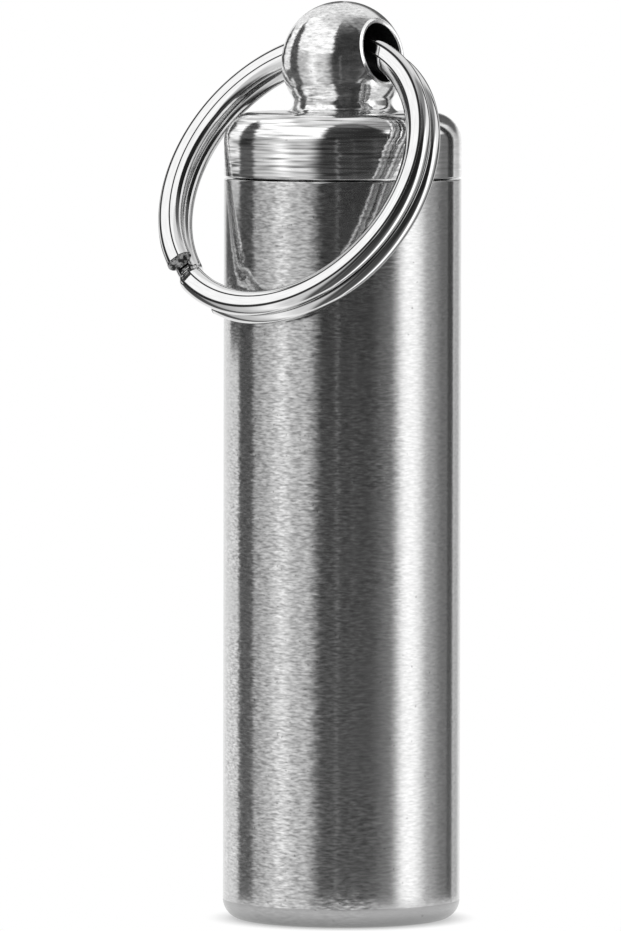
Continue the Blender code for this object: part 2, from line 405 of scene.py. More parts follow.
def thread_ridge_tree():
    """Geometry nodes for one ridge. Depth is positive outwards from the wall and negative inwards."""
    tree, given, result = new_group(
        "thread ridge",
        "GeometryNodeTree",
        (
            ("Geometry", "NodeSocketGeometry", None),
            ("Wall Radius", "NodeSocketFloat", 0.007),
            ("Depth", "NodeSocketFloat", 0.0005),
            ("Base Width", "NodeSocketFloat", 0.0008),
            ("Crest Width", "NodeSocketFloat", 0.0001),
            ("Sink", "NodeSocketFloat", 0.00005),
            ("Pitch", "NodeSocketFloat", 0.001),
            ("Turns", "NodeSocketFloat", 4.0),
            ("Start Height", "NodeSocketFloat", 0.0),
            ("Steps Per Turn", "NodeSocketInt", 64),
            ("Fade Turns", "NodeSocketFloat", 0.5),
            ("Material", "NodeSocketMaterial", None),
        ),
        (("Geometry", "NodeSocketGeometry"),),
    )
    value = given.outputs
    count = maths(tree, "MULTIPLY", value["Steps Per Turn"], value["Turns"])
    line = node(tree, "GeometryNodeCurvePrimitiveLine")
    steps = node(tree, "GeometryNodeResampleCurve", {"Curve": line.outputs[0], "Count": count})
    along = node(tree, "GeometryNodeSplineParameter").outputs["Factor"]
    turns = maths(tree, "MULTIPLY", along, value["Turns"])
    angle = maths(tree, "MULTIPLY", turns, math.tau)
    from_end = maths(tree, "SUBTRACT", value["Turns"], turns)
    nearest = maths(tree, "MINIMUM", turns, from_end)
    fade = maths(tree, "MINIMUM", maths(tree, "DIVIDE", nearest, value["Fade Turns"]), 1.0)
    sunk = maths(tree, "MULTIPLY", maths(tree, "SIGN", value["Depth"]), value["Sink"])
    shrink = maths(tree, "SUBTRACT", 1.0, fade)
    fallen = maths(tree, "MULTIPLY", maths(tree, "ADD", value["Depth"], sunk), shrink)
    radius = maths(tree, "SUBTRACT", value["Wall Radius"], fallen)
    spot = node(
        tree,
        "ShaderNodeCombineXYZ",
        {
            "X": maths(tree, "MULTIPLY", radius, maths(tree, "COSINE", angle)),
            "Y": maths(tree, "MULTIPLY", radius, maths(tree, "SINE", angle)),
            "Z": maths(tree, "MULTIPLY_ADD", turns, value["Pitch"], value["Start Height"]),
        },
    )
    helix = node(tree, "GeometryNodeSetPosition", {"Geometry": steps.outputs[0], "Position": spot.outputs[0]})
    upright = node(tree, "GeometryNodeSetCurveNormal", {"Curve": helix.outputs[0]}, mode="Z_UP")
    half_base = maths(tree, "MULTIPLY", value["Base Width"], 0.5)
    half_crest = maths(tree, "MULTIPLY", value["Crest Width"], 0.5)
    root = maths(tree, "MULTIPLY", sunk, -1.0)
    corners = []
    for reach, half, side in (
        (root, half_base, -1.0),
        (value["Depth"], half_crest, -1.0),
        (value["Depth"], half_crest, 1.0),
        (root, half_base, 1.0),
    ):
        across = maths(tree, "MULTIPLY", half, side)
        corners.append(node(tree, "ShaderNodeCombineXYZ", {"X": reach, "Y": across}).outputs[0])
    section = node(tree, "GeometryNodeCurvePrimitiveQuadrilateral", mode="POINTS")
    for i, corner in enumerate(corners):
        tree.links.new(corner, section.inputs[f"Point {i + 1}"])
    ridge = node(
        tree,
        "GeometryNodeCurveToMesh",
        {"Curve": upright.outputs[0], "Profile Curve": section.outputs[0], "Fill Caps": True},
    )
    end_tree(tree, ridge.outputs[0], value["Material"], result)
    return tree


def baked(name, tree, values):
    """Runs a geometry tree with values for its named inputs, and returns the plain mesh that it makes."""
    holder = bpy.data.objects.new(name, bpy.data.meshes.new(name))
    bpy.context.scene.collection.objects.link(holder)
    modifier = holder.modifiers.new(name, "NODES")
    modifier.node_group = tree
    for item in tree.interface.items_tree:
        if item.item_type == "SOCKET" and item.in_out == "INPUT" and item.name in values:
            modifier[item.identifier] = values[item.name]
    graph = bpy.context.evaluated_depsgraph_get()
    mesh = bpy.data.meshes.new_from_object(holder.evaluated_get(graph), depsgraph=graph)
    bpy.data.objects.remove(holder)
    return mesh


def outward_faces(mesh):
    """Merges doubled points and turns every face outwards."""
    bm = bmesh.new()
    bm.from_mesh(mesh)
    bmesh.ops.remove_doubles(bm, verts=bm.verts[:], dist=MERGE_DISTANCE)
    bmesh.ops.recalc_face_normals(bm, faces=bm.faces[:])
    bm.to_mesh(mesh)
    bm.free()


def join_mesh(piece, mesh):
    """Adds a mesh to a piece, which keeps its own material."""
    bm = bmesh.new()
    bm.from_mesh(piece.data)
    bm.from_mesh(mesh)
    bm.to_mesh(piece.data)
    bm.free()
    bpy.data.meshes.remove(mesh)
    piece.data.shade_smooth()
    piece.data.set_sharp_from_angle(angle=SHARP_ANGLE)


thread_ridge = thread_ridge_tree()


def thread(name, wall_radius, depth, turns, start_height, material):
    """One piece's thread as a plain mesh."""
    values = {
        "Wall Radius": wall_radius,
        "Depth": depth,
        "Base Width": THREAD_BASE_WIDTH,
        "Crest Width": THREAD_CREST_WIDTH,
        "Sink": THREAD_SINK,
        "Pitch": THREAD_PITCH,
        "Turns": turns,
        "Start Height": start_height,
        "Steps Per Turn": THREAD_STEPS_PER_TURN,
        "Fade Turns": THREAD_FADE_TURNS,
        "Material": material,
    }
    mesh = baked(name, thread_ridge, values)
    outward_faces(mesh)
    return mesh


join_mesh(jar, thread("female thread", tapped_radius, -FEMALE_DEPTH, FEMALE_TURNS, female_start, jar_steel))
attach(jar, "jar")
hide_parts("jar_body")


# Seal
# A moulded rubber ring of round section in the gland between the cap's flange and its thread. Where the
# mould's halves met, a thin line of flash runs round its inside and its outside.

seal_low, seal_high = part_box("o_ring_seal")
SEAL_THICKNESS = 0.0012
FLASH_HEIGHT = 0.00006
FLASH_REACH = 0.00003

seal_middle = seal_high.x - SEAL_THICKNESS / 2
seal_height = (seal_low.z + seal_high.z) / 2


def seal_profile():
    """A round section with a small square bead of flash on each side."""
    radius = SEAL_THICKNESS / 2
    flash = math.degrees(math.asin(FLASH_HEIGHT / 2 / radius))
    points = []
    for start in (0, 180):
        points += arc(seal_middle, 0, radius - FLASH_REACH, start + flash, start + 180 - flash)
        side = -1 if start == 0 else 1
        points.append((seal_middle + side * radius, -side * FLASH_HEIGHT / 2))
        points.append((seal_middle + side * radius, side * FLASH_HEIGHT / 2))
    return points


seal = turned("seal_ring", seal_profile(), lift=seal_height, closed=True)
rubber, tree, shader = principled("seal rubber", grey=0.018, metallic=0.0, roughness=0.55)
place = object_place(tree)
press(tree, shader, noise(tree, place, scale=9000.0, detail=3.0), strength=0.3, distance=0.00002)
dust = noise(tree, place, scale=1400.0, detail=4.0)
dusty = remapped(tree, dust, low=0.4, high=0.8, at_low=0.48, at_high=0.72)
tree.links.new(dusty, shader.inputs["Roughness"])
seal.data.materials.append(rubber)
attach(seal, "seal")
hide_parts("o_ring_seal")


# Screw cap
# Turned from one bar: a flange with a rounded shoulder, a short neck, and a ball drilled through for the
# ring. The tool leaves coarser lines here than brushing leaves on the jar. Below the flange a plug holds the
# seal's gland and the male thread.

SEAM_GAP = 0.0001
CAP_HEIGHT = 0.00438
SHOULDER_FILLET = 0.0020
PLUG_LENGTH = 0.0059
PLUG_CHAMFER = 0.0004
PLUG_RADIUS = 0.00635
GLAND_RADIUS = 0.00575
GLAND_WIDTH = 0.0014
COVE_RADIUS = 0.00065
BALL_RADIUS = 0.00414
BALL_RISE = 0.003320
BALL_STEP = 2.5
HOLE_RISE = 0.00072
HOLE_RADIUS = 0.001959
HOLE_RIM = 0.00022
HOLE_BEARING = math.radians(-38.5)
HOLE_SIDES = 120
RIM_STEPS = 5
BORE_LIMIT = 1.001
BORE_SHADE_COLOUR = (0.12, 0.12, 0.12)
BALL_ROUGHNESS = 0.12
BAND_WIDTH = 0.00014
BAND_FALL = 0.00010
RIM_HIGHLIGHT_COLOUR = (0.95, 0.95, 0.95, 1.0)
BAND_ROUGHNESS = 0.1
ON_BALL_WITHIN = 0.000004
MALE_DEPTH = 0.0006
MALE_TURNS = 3.7

cap_underside = JAR_HEIGHT + SEAM_GAP
ball_height = cap_underside + CAP_HEIGHT + BALL_RISE
cove_deg = math.degrees(math.asin((BALL_RISE - COVE_RADIUS) / (BALL_RADIUS + COVE_RADIUS)))
cove_middle = (BALL_RADIUS + COVE_RADIUS) * math.cos(math.radians(cove_deg))
ball_foot = BALL_RISE - BALL_RADIUS * math.sin(math.radians(cove_deg))
hole_height = ball_height + HOLE_RISE
hole_way = Vector((math.cos(HOLE_BEARING), math.sin(HOLE_BEARING), 0))

cap_profile = [
    (0, -PLUG_LENGTH),
    (PLUG_RADIUS - PLUG_CHAMFER, -PLUG_LENGTH),
    (PLUG_RADIUS, -PLUG_LENGTH + PLUG_CHAMFER),
    (PLUG_RADIUS, -GLAND_WIDTH),
    (GLAND_RADIUS, -GLAND_WIDTH),
    (GLAND_RADIUS, 0),
]
cap_profile += arc(JAR_RADIUS - EDGE_BREAK, EDGE_BREAK, EDGE_BREAK, -90, 0)
cap_profile += arc(JAR_RADIUS - SHOULDER_FILLET, CAP_HEIGHT - SHOULDER_FILLET, SHOULDER_FILLET, 0, 90)
cap_profile += arc(cove_middle, CAP_HEIGHT + COVE_RADIUS, COVE_RADIUS, -90, -180 - cove_deg)[:-1]
cap_profile += arc(0, CAP_HEIGHT + BALL_RISE, BALL_RADIUS, -cove_deg, 90, BALL_STEP)
cap = turned("screw_cap_turned", cap_profile, lift=cap_underside)


def hole_cutter():
    """The drill's path and the rounded rims, along X through the origin, for a ball whose middle is lower."""
    rounds = [math.pi / 2 * i / RIM_STEPS for i in range(RIM_STEPS + 1)]
    columns = []
    for i in range(HOLE_SIDES):
        angle = math.tau * i / HOLE_SIDES

        def depth(radius, ball):
            across = radius * math.cos(angle)
            up = HOLE_RISE + radius * math.sin(angle)
            return math.sqrt(ball**2 - across**2 - up**2)

        inner_x = depth(HOLE_RADIUS, BALL_RADIUS - HOLE_RIM)
        outer_x = depth(HOLE_RADIUS + HOLE_RIM, BALL_RADIUS)
        half = []
        for turn in rounds:
            radius = HOLE_RADIUS + HOLE_RIM * (1 - math.cos(turn))
            half.append((inner_x + (outer_x - inner_x) * math.sin(turn), radius))
        half.append((half[-1][0], half[-1][1] + HOLE_RIM))
        half.append((BALL_RADIUS + HOLE_RIM, half[-1][1]))
        whole = [(-x, r) for x, r in reversed(half)] + half
        columns.append([(x, r * math.cos(angle), r * math.sin(angle)) for x, r in whole])
    bm = bmesh.new()
    rings = [[bm.verts.new(point) for point in ring] for ring in zip(*columns)]
    for ring, following in zip(rings, rings[1:]):
        for i in range(HOLE_SIDES):
            j = (i + 1) % HOLE_SIDES
            bm.faces.new((ring[i], ring[j], following[j], following[i]))
    bm.faces.new(rings[0])
    bm.faces.new(reversed(rings[-1]))
    bmesh.ops.recalc_face_normals(bm, faces=bm.faces[:])
    mesh = bpy.data.meshes.new("cross hole")
    bm.to_mesh(mesh)
    bm.free()
    mesh.transform(Matrix.Translation((0, 0, hole_height)) @ Matrix.Rotation(HOLE_BEARING, 4, "Z"))
    cutter = bpy.data.objects.new("cross hole", mesh)
    bpy.context.scene.collection.objects.link(cutter)
    return cutter


cutter = hole_cutter()
drill = cap.modifiers.new("cross hole", "BOOLEAN")
drill.operation = "DIFFERENCE"
drill.solver = "EXACT"
drill.object = cutter
graph = bpy.context.evaluated_depsgraph_get()
drilled = bpy.data.meshes.new_from_object(cap.evaluated_get(graph), depsgraph=graph)
cap.modifiers.remove(drill)
cap.data = drilled
bpy.data.objects.remove(cutter)
cap.data.materials.clear()
CAP_LINES = {
    "Line Width": 0.00017,
    "Streak Turns": 2.8,
    "Sway": 0.10,
    "Tilt": 0.19,
    "Worn Side": (-0.6, -1.6, 0.0),
    "Seed": 5.0,
}
BALL_LINES = {
    "Line Width": 0.00016,
    "Streak Turns": 8.0,
    "Sway": 0.10,
    "Tilt": 0.10,
    "Worn Side": (-0.6, -1.6, 0.0),
    "Seed": 9.0,
}
cap_steel = turned_steel(
    "cap steel",
    grey=0.80,
    metallic=0.95,
    roughness=0.11,
    contrast=2.9,
    lines=CAP_LINES,
    pit_spacing=0.0004,
    pit_share=0.04,
    pit_dark=0.3,
)
ball_steel = turned_steel(
    "ball steel",
    grey=0.76,
    metallic=0.93,
    roughness=BALL_ROUGHNESS,
    contrast=1.4,
    lines=BALL_LINES,
    pit_spacing=0.0004,
    pit_share=0.04,
    pit_dark=0.3,
)
# The bore's steel is painted near black with a faint grain: painted shade inside the hole.
shaded_bore_steel, tree, shader = principled("drilled bore painted dark", grey=0.10, metallic=1.0, roughness=0.45)
grain = noise(tree, object_place(tree), scale=5000.0, detail=3.0)
tree.links.new(scaled(tree, BORE_SHADE_COLOUR, grain), shader.inputs["Base Color"])
# The rim's steel is painted lighter than the ball's, a painted highlight along the rim. It is also rougher
# and nicked.
lighter_rim_steel, tree, shader = principled("deburred rim painted lighter", grey=0.9, metallic=0.9, roughness=0.28)
nicks = noise(tree, object_place(tree), scale=2500.0, detail=2.0)
press(tree, shader, nicks, strength=0.4, distance=0.00005)


def rim_band_group():
    """The narrow band round the hole which carries a painted highlight: a mask, and its fall towards the
    hole.
    """
    group, given, result = new_group(
        "rim band",
        "ShaderNodeTree",
        (
            ("Hole Middle", "NodeSocketVector", (0.0, 0.0, 0.0)),
            ("Hole Way", "NodeSocketVector", (1.0, 0.0, 0.0)),
            ("Hole Edge", "NodeSocketFloat", 0.002),
            ("Band Edge", "NodeSocketFloat", 0.0022),
        ),
        (("Band", "NodeSocketFloat"), ("Fall", "NodeSocketFloat")),
    )
    place = object_place(group)
    away = vector_maths(group, "SUBTRACT", place, given.outputs["Hole Middle"])
    along = vector_maths(group, "DOT_PRODUCT", away, given.outputs["Hole Way"])
    off_axis = vector_maths(group, "SUBTRACT", away, scaled(group, given.outputs["Hole Way"], along))
    reach = vector_maths(group, "LENGTH", off_axis)
    fall = remapped(group, reach, given.outputs["Hole Edge"], given.outputs["Band Edge"], -1.0, 0.0)
    band = maths(group, "LESS_THAN", reach, given.outputs["Band Edge"])
    group.links.new(band, result.inputs["Band"])
    group.links.new(fall, result.inputs["Fall"])
    return group


tree = ball_steel.node_tree
shader = tree.nodes["Principled BSDF"]
band_sizes = {
    "Hole Middle": (0.0, 0.0, hole_height),
    "Hole Way": hole_way,
    "Hole Edge": HOLE_RADIUS,
    "Band Edge": HOLE_RADIUS + HOLE_RIM + BAND_WIDTH,
}
band = node(tree, "ShaderNodeGroup", band_sizes, node_tree=rim_band_group()).outputs
turned_colour = shader.inputs["Base Color"].links[0].from_socket
turned_normal = shader.inputs["Normal"].links[0].from_socket
# Within the band the ball's colour is painted near white, a painted highlight along the rim. The band is also
# rougher and falls towards the hole.
highlight_mix = {0: band["Band"], 6: turned_colour, 7: RIM_HIGHLIGHT_COLOUR}
painted_highlight_colour = node(tree, "ShaderNodeMix", highlight_mix, data_type="RGBA").outputs[2]
tree.links.new(painted_highlight_colour, shader.inputs["Base Color"])
rough = maths(tree, "MULTIPLY_ADD", band["Band"], BAND_ROUGHNESS, BALL_ROUGHNESS)
tree.links.new(rough, shader.inputs["Roughness"])
press(tree, shader, band["Fall"], 1.0, BAND_FALL, turned_normal)

# The neck and ball, the drilled bore and its deburred rim each have a steel of their own: the bore's is
# painted near black as painted shade, and the rim's is painted lighter as a painted highlight.
for steel in (cap_steel, ball_steel, shaded_bore_steel, lighter_rim_steel):
    cap.data.materials.append(steel)
for face in cap.data.polygons:
    spot = face.center - Vector((0, 0, hole_height))
    off_axis = (spot - hole_way * spot.dot(hole_way)).length
    if face.center.z > cap_underside + CAP_HEIGHT + EDGE_BREAK:
        face.material_index = 1
    if spot.length < BALL_RADIUS + HOLE_RISE and off_axis < HOLE_RADIUS * BORE_LIMIT:
        face.material_index = 2
    elif off_axis < HOLE_RADIUS + HOLE_RIM:
        face.material_index = 3

male_start = female_start + THREAD_PITCH / 2
join_mesh(cap, thread("male thread", PLUG_RADIUS, MALE_DEPTH, MALE_TURNS, male_start, cap_steel))


def true_ball_normals(mesh):
    """Gives faces that lie on the ball the ball's own normals at their corners, so that its gloss is even."""
    middle = Vector((0, 0, ball_height))
    normals = [tuple(corner.vector) for corner in mesh.corner_normals]
    for face in mesh.polygons:
        spots = [mesh.vertices[i].co - middle for i in face.vertices]
        on_ball = all(abs(spot.length - BALL_RADIUS) < ON_BALL_WITHIN for spot in spots)
        if on_ball and face.center.z > cap_underside + CAP_HEIGHT + ball_foot:
            for loop, spot in zip(face.loop_indices, spots):
                normals[loop] = tuple(spot.normalized())
    mesh.normals_split_custom_set(normals)


true_ball_normals(cap.data)
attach(cap, "cap")
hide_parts("screw_cap")


# Split ring
# Flat spring-steel wire wound in two turns and nickel plated. One joggle carries the wire from the front
# turn to the back turn, between its two square cut ends. It hangs through the ball and leans on the jar.

RING_INNER = 0.00895
WIRE_WIDTH = 0.0018
WIRE_THICKNESS = 0.0011
OUTER_DOME = 0.00040
INNER_ROUNDING = 0.00066
INNER_ARC = math.radians(65)
TURN_GAP = 0.0001
FIRST_END = math.radians(134.5)
CROSSING_START = math.radians(-212.0)
CROSSING_SPAN = math.radians(12.0)
LAST_END = math.radians(-560.0)
RING_DROP = 0.0096072
RING_LEAN = math.radians(29.76)
WIRE_STEPS = 560
SECTION_POINTS = 96
WIRE_SHARP_ANGLE = math.radians(9)
CREASE_INSIDE = 0.00005
CREASE_OUTSIDE = 0.00008
END_EDGE = 0.00006
# Painted dark lines along the creases and at the cut ends, standing in for shade and dark reflections
DARK_LINE_SOFTNESS = 0.3
PAINTED_LINE_DARKNESS = 0.96
DARK_LINE_ROUGHNESS = 0.4
MARKS_PER_METRE = 9000.0
MARKS_PER_RADIAN = 8.0
MARKS_DETAIL = 2.0
MARKS_CONTRAST = 0.25
MARKS_ROUGHNESS = 0.1
NICKEL = 0.72
NICKEL_ROUGHNESS = 0.07


def mixed(tree, share, first, second):
    """The first number where the share is 0, and the second where it is 1."""
    return node(tree, "ShaderNodeMix", {0: share, 2: first, 3: second}).outputs[0]


def stored(tree, geometry, name, value):
    """Keeps a value on each point of a curve, and the mesh swept from the curve carries it on."""
    item = node(tree, "GeometryNodeStoreNamedAttribute", {"Geometry": geometry, "Name": name, "Value": value})
    return item.outputs[0]


def split_ring_tree():
    """Geometry nodes that sweep the wire's section along its two turns, with the ring's axis on Z."""
    tree, given, result = new_group(
        "split ring coil",
        "GeometryNodeTree",
        (
            ("Geometry", "NodeSocketGeometry", None),
            ("Middle Radius", "NodeSocketFloat", 0.01),
            ("Wire Width", "NodeSocketFloat", 0.0018),
            ("Wire Thickness", "NodeSocketFloat", 0.0011),
            ("Outer Dome", "NodeSocketFloat", 0.0003),
            ("Inner Rounding", "NodeSocketFloat", 0.0005),
            ("Inner Arc", "NodeSocketFloat", 1.2),
            ("Turn Pitch", "NodeSocketFloat", 0.0012),
            ("First End", "NodeSocketFloat", 2.3),
            ("Crossing Start", "NodeSocketFloat", -3.7),
            ("Crossing Span", "NodeSocketFloat", 0.2),
            ("Last End", "NodeSocketFloat", -9.8),
            ("Steps", "NodeSocketInt", 400),
            ("Section Points", "NodeSocketInt", 64),
            ("Material", "NodeSocketMaterial", None),
        ),
        (("Geometry", "NodeSocketGeometry"),),
    )
    value = given.outputs
    line = node(tree, "GeometryNodeCurvePrimitiveLine")
    steps = node(tree, "GeometryNodeResampleCurve", {"Curve": line.outputs[0], "Count": value["Steps"]})
    along = node(tree, "GeometryNodeSplineParameter").outputs["Factor"]
    sweep = maths(tree, "SUBTRACT", value["Last End"], value["First End"])
    angle = maths(tree, "MULTIPLY_ADD", along, sweep, value["First End"])
    crossing_end = maths(tree, "SUBTRACT", value["Crossing Start"], value["Crossing Span"])
    half_pitch = maths(tree, "MULTIPLY", value["Turn Pitch"], 0.5)
    back_layer = maths(tree, "MULTIPLY", half_pitch, -1.0)
    crossing_start = value["Crossing Start"]
    layer = remapped(tree, angle, crossing_end, crossing_start, back_layer, half_pitch, "SMOOTHSTEP")
    left = maths(tree, "MULTIPLY", value["Middle Radius"], maths(tree, "SINE", angle))
    spot = node(
        tree,
        "ShaderNodeCombineXYZ",
        {
            "X": maths(tree, "MULTIPLY", left, -1.0),
            "Y": maths(tree, "MULTIPLY", value["Middle Radius"], maths(tree, "COSINE", angle)),
            "Z": layer,
        },
    )
    coil = node(tree, "GeometryNodeSetPosition", {"Geometry": steps.outputs[0], "Position": spot.outputs[0]})
    upright = node(tree, "GeometryNodeSetCurveNormal", {"Curve": coil.outputs[0]}, mode="Z_UP")
    path = stored(tree, upright.outputs[0], "wire angle", angle)

    # The wire's section is a flat bar, made from a circle that is drawn out. Its inner edge is a long
    # stretch of an ellipse, its outer edge an arc of a circle, and both meet the flats at a crease.
    half_width = maths(tree, "MULTIPLY", value["Wire Width"], 0.5)
    half_thickness = maths(tree, "MULTIPLY", value["Wire Thickness"], 0.5)
    round_section = {"Resolution": value["Section Points"], "Radius": 1.0}
    circle = node(tree, "GeometryNodeCurvePrimitiveCircle", round_section)
    position = node(tree, "GeometryNodeInputPosition").outputs[0]
    on_circle = node(tree, "ShaderNodeSeparateXYZ", {0: position}).outputs
    arc_share = maths(tree, "SUBTRACT", 1.0, maths(tree, "COSINE", value["Inner Arc"]))
    inner_long = maths(tree, "DIVIDE", value["Inner Rounding"], arc_share)
    inner_short = maths(tree, "DIVIDE", half_thickness, maths(tree, "SINE", value["Inner Arc"]))
    inner_middle = maths(tree, "SUBTRACT", half_width, inner_long)
    inner_across = maths(tree, "MULTIPLY_ADD", on_circle["X"], inner_long, inner_middle)
    inner_through = maths(tree, "MULTIPLY", on_circle["Y"], inner_short)
    squares = maths(tree, "MULTIPLY", half_thickness, half_thickness)
    squares = maths(tree, "MULTIPLY_ADD", value["Outer Dome"], value["Outer Dome"], squares)
    dome_radius = maths(tree, "DIVIDE", squares, maths(tree, "MULTIPLY", value["Outer Dome"], 2.0))
    dome_middle = maths(tree, "SUBTRACT", dome_radius, half_width)
    outer_across = maths(tree, "MULTIPLY_ADD", on_circle["X"], dome_radius, dome_middle)
    outer_through = maths(tree, "MULTIPLY", on_circle["Y"], dome_radius)
    is_outer = maths(tree, "LESS_THAN", on_circle["X"], 0.0)
    across = mixed(tree, is_outer, inner_across, outer_across)
    through = mixed(tree, is_outer, inner_through, outer_through)
    through = maths(tree, "MINIMUM", through, half_thickness)
    through = maths(tree, "MAXIMUM", through, maths(tree, "MULTIPLY", half_thickness, -1.0))
    spot = node(tree, "ShaderNodeCombineXYZ", {"X": across, "Y": through}).outputs[0]
    section = node(tree, "GeometryNodeSetPosition", {"Geometry": circle.outputs[0], "Position": spot})
    in_section = node(tree, "ShaderNodeSeparateXYZ", {0: position}).outputs
    outline = stored(tree, section.outputs[0], "wire across", in_section["X"])
    outline = stored(tree, outline, "wire through", in_section["Y"])
    wire = node(tree, "GeometryNodeCurveToMesh", {"Curve": path, "Profile Curve": outline, "Fill Caps": True})
    end_tree(tree, wire.outputs[0], value["Material"], result)
    return tree


def wire_marks_group():
    """Masks for painted dark lines along the wire's creases and at its ends, which stand in for shade and
    dark reflections there, and for long drawing marks.
    """
    group, given, result = new_group(
        "wire marks",
        "ShaderNodeTree",
        (
            ("Inside Crease", "NodeSocketFloat", 0.0002),
            ("Outside Crease", "NodeSocketFloat", -0.0005),
            ("Inside Half Width", "NodeSocketFloat", 0.00003),
            ("Outside Half Width", "NodeSocketFloat", 0.00006),
            ("First End", "NodeSocketFloat", 2.3),
            ("Last End", "NodeSocketFloat", -9.8),
            ("End Angle", "NodeSocketFloat", 0.006),
        ),
        (("Painted Dark Lines", "NodeSocketFloat"), ("Marks", "NodeSocketFloat")),
    )

    def kept(name):
        return node(group, "ShaderNodeAttribute", attribute_name=name).outputs["Fac"]

    def near(distance, reach):
        reaches = maths(group, "DIVIDE", distance, reach)
        return remapped(group, reaches, 1 - DARK_LINE_SOFTNESS, 1 + DARK_LINE_SOFTNESS, 1.0, 0.0, "SMOOTHSTEP")

    across = kept("wire across")
    angle = kept("wire angle")
    crease = 0.0
    for side in ("Inside", "Outside"):
        off = maths(group, "ABSOLUTE", maths(group, "SUBTRACT", across, given.outputs[f"{side} Crease"]))
        crease = maths(group, "MAXIMUM", crease, near(off, given.outputs[f"{side} Half Width"]))
    from_first = maths(group, "ABSOLUTE", maths(group, "SUBTRACT", angle, given.outputs["First End"]))
    from_last = maths(group, "ABSOLUTE", maths(group, "SUBTRACT", angle, given.outputs["Last End"]))
    cut = near(maths(group, "MINIMUM", from_first, from_last), given.outputs["End Angle"])
    group.links.new(maths(group, "MAXIMUM", crease, cut), result.inputs["Painted Dark Lines"])
    long_way = node(
        group,
        "ShaderNodeCombineXYZ",
        {
            "X": maths(group, "MULTIPLY", across, MARKS_PER_METRE),
            "Y": maths(group, "MULTIPLY", kept("wire through"), MARKS_PER_METRE),
            "Z": maths(group, "MULTIPLY", angle, MARKS_PER_RADIAN),
        },
    ).outputs[0]
    marks = noise(group, long_way, 1.0, MARKS_DETAIL)
    group.links.new(maths(group, "SUBTRACT", marks, 0.5), result.inputs["Marks"])
    return group


nickel, tree, shader = principled("bright nickel plate", NICKEL, 1.0, NICKEL_ROUGHNESS)
mark_sizes = {
    "Inside Crease": WIRE_WIDTH / 2 - INNER_ROUNDING,
    "Outside Crease": OUTER_DOME - WIRE_WIDTH / 2,
    "Inside Half Width": CREASE_INSIDE,
    "Outside Half Width": CREASE_OUTSIDE,
    "First End": FIRST_END,
    "Last End": LAST_END,
    "End Angle": END_EDGE / RING_INNER,
}
marks = node(tree, "ShaderNodeGroup", mark_sizes, node_tree=wire_marks_group()).outputs
# Along the creases and at the cut ends the nickel's colour is painted nearly black, as painted shade and
# painted dark reflections, and it is rougher there.
painted_line_shade = maths(tree, "SUBTRACT", 1.0, maths(tree, "MULTIPLY", marks["Painted Dark Lines"], PAINTED_LINE_DARKNESS))
tone = maths(tree, "MULTIPLY", painted_line_shade, maths(tree, "MULTIPLY_ADD", marks["Marks"], MARKS_CONTRAST, NICKEL))
tree.links.new(scaled(tree, (1.0, 1.0, 1.0), tone), shader.inputs["Base Color"])
rough = maths(tree, "MULTIPLY_ADD", marks["Painted Dark Lines"], DARK_LINE_ROUGHNESS, NICKEL_ROUGHNESS)
rough = maths(tree, "MULTIPLY_ADD", marks["Marks"], MARKS_ROUGHNESS, rough)
tree.links.new(rough, shader.inputs["Roughness"])

sheared, tree, shader = principled("sheared wire end", grey=0.10, metallic=1.0, roughness=0.5)
grain = noise(tree, object_place(tree), scale=3500.0, detail=4.0)
tone = remapped(tree, grain, low=0.40, high=0.62, at_low=0.05, at_high=0.70, curve="SMOOTHSTEP")
tree.links.new(scaled(tree, (1.0, 1.0, 1.0), tone), shader.inputs["Base Color"])
press(tree, shader, grain, strength=0.8, distance=0.00006)
coil = baked(
    "split ring",
    split_ring_tree(),
    {
        "Middle Radius": RING_INNER + WIRE_WIDTH / 2,
        "Wire Width": WIRE_WIDTH,
        "Wire Thickness": WIRE_THICKNESS,
        "Outer Dome": OUTER_DOME,
        "Inner Rounding": INNER_ROUNDING,
        "Inner Arc": INNER_ARC,
        "Turn Pitch": WIRE_THICKNESS + TURN_GAP,
        "First End": FIRST_END,
        "Crossing Start": CROSSING_START,
        "Crossing Span": CROSSING_SPAN,
        "Last End": LAST_END,
        "Steps": WIRE_STEPS,
        "Section Points": SECTION_POINTS,
        "Material": nickel,
    },
)
outward_faces(coil)

# The ring is stood up, lowered until its wire hangs in the hole, leaned on the jar and turned with the hole
stand = Matrix.Translation((0, 0, hole_height)) @ Matrix.Rotation(HOLE_BEARING, 4, "Z")
stand @= Matrix.Rotation(-RING_LEAN, 4, "X")
coil.transform(stand @ Matrix.Translation((0, 0, -RING_DROP)) @ Matrix.Rotation(math.radians(90), 4, "X"))
coil.shade_smooth()
coil.set_sharp_from_angle(angle=WIRE_SHARP_ANGLE)
coil.materials.append(sheared)

# The two cut ends are the only faces with more than four corners
for face in coil.polygons:
    if face.loop_total > 4:
        face.material_index = 1
ring = bpy.data.objects.new("split_ring_wire", coil)
bpy.context.scene.collection.objects.link(ring)
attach(ring, "ring")
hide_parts("split_ring")


# Studio
# A white floor, a tent of white cloth round the jar, narrow at its foot and domed above, and the camera.
# The tent is lit from within and doesn't show to the camera. Boards hang in it, mostly black and grey, and
# they give turned steel its bands.

FLOOR_HALF = 8.0
FLOOR_WHITE = 0.86
SHADE_RADIUS = 0.0070
WHITE_RADIUS = 0.0093
FLOOR_GLOW = 0.45
TENT_FOOT_RADIUS = 0.018
TENT_RADIUS = 0.110
TENT_WALL_HEIGHT = 0.058
CAMERA_DISTANCE = 0.69399
CAMERA_HEIGHT = 0.070976
CAMERA_YAW = math.radians(-0.1759)
CAMERA_PITCH = math.radians(3.3274)
CAMERA_ROLL = math.radians(0.1116)
LENS = 398.5
SENSOR = 36.0
CLIP_NEAR = 0.05
CLIP_FAR = 50.0
BEARING_ROUNDS = 2

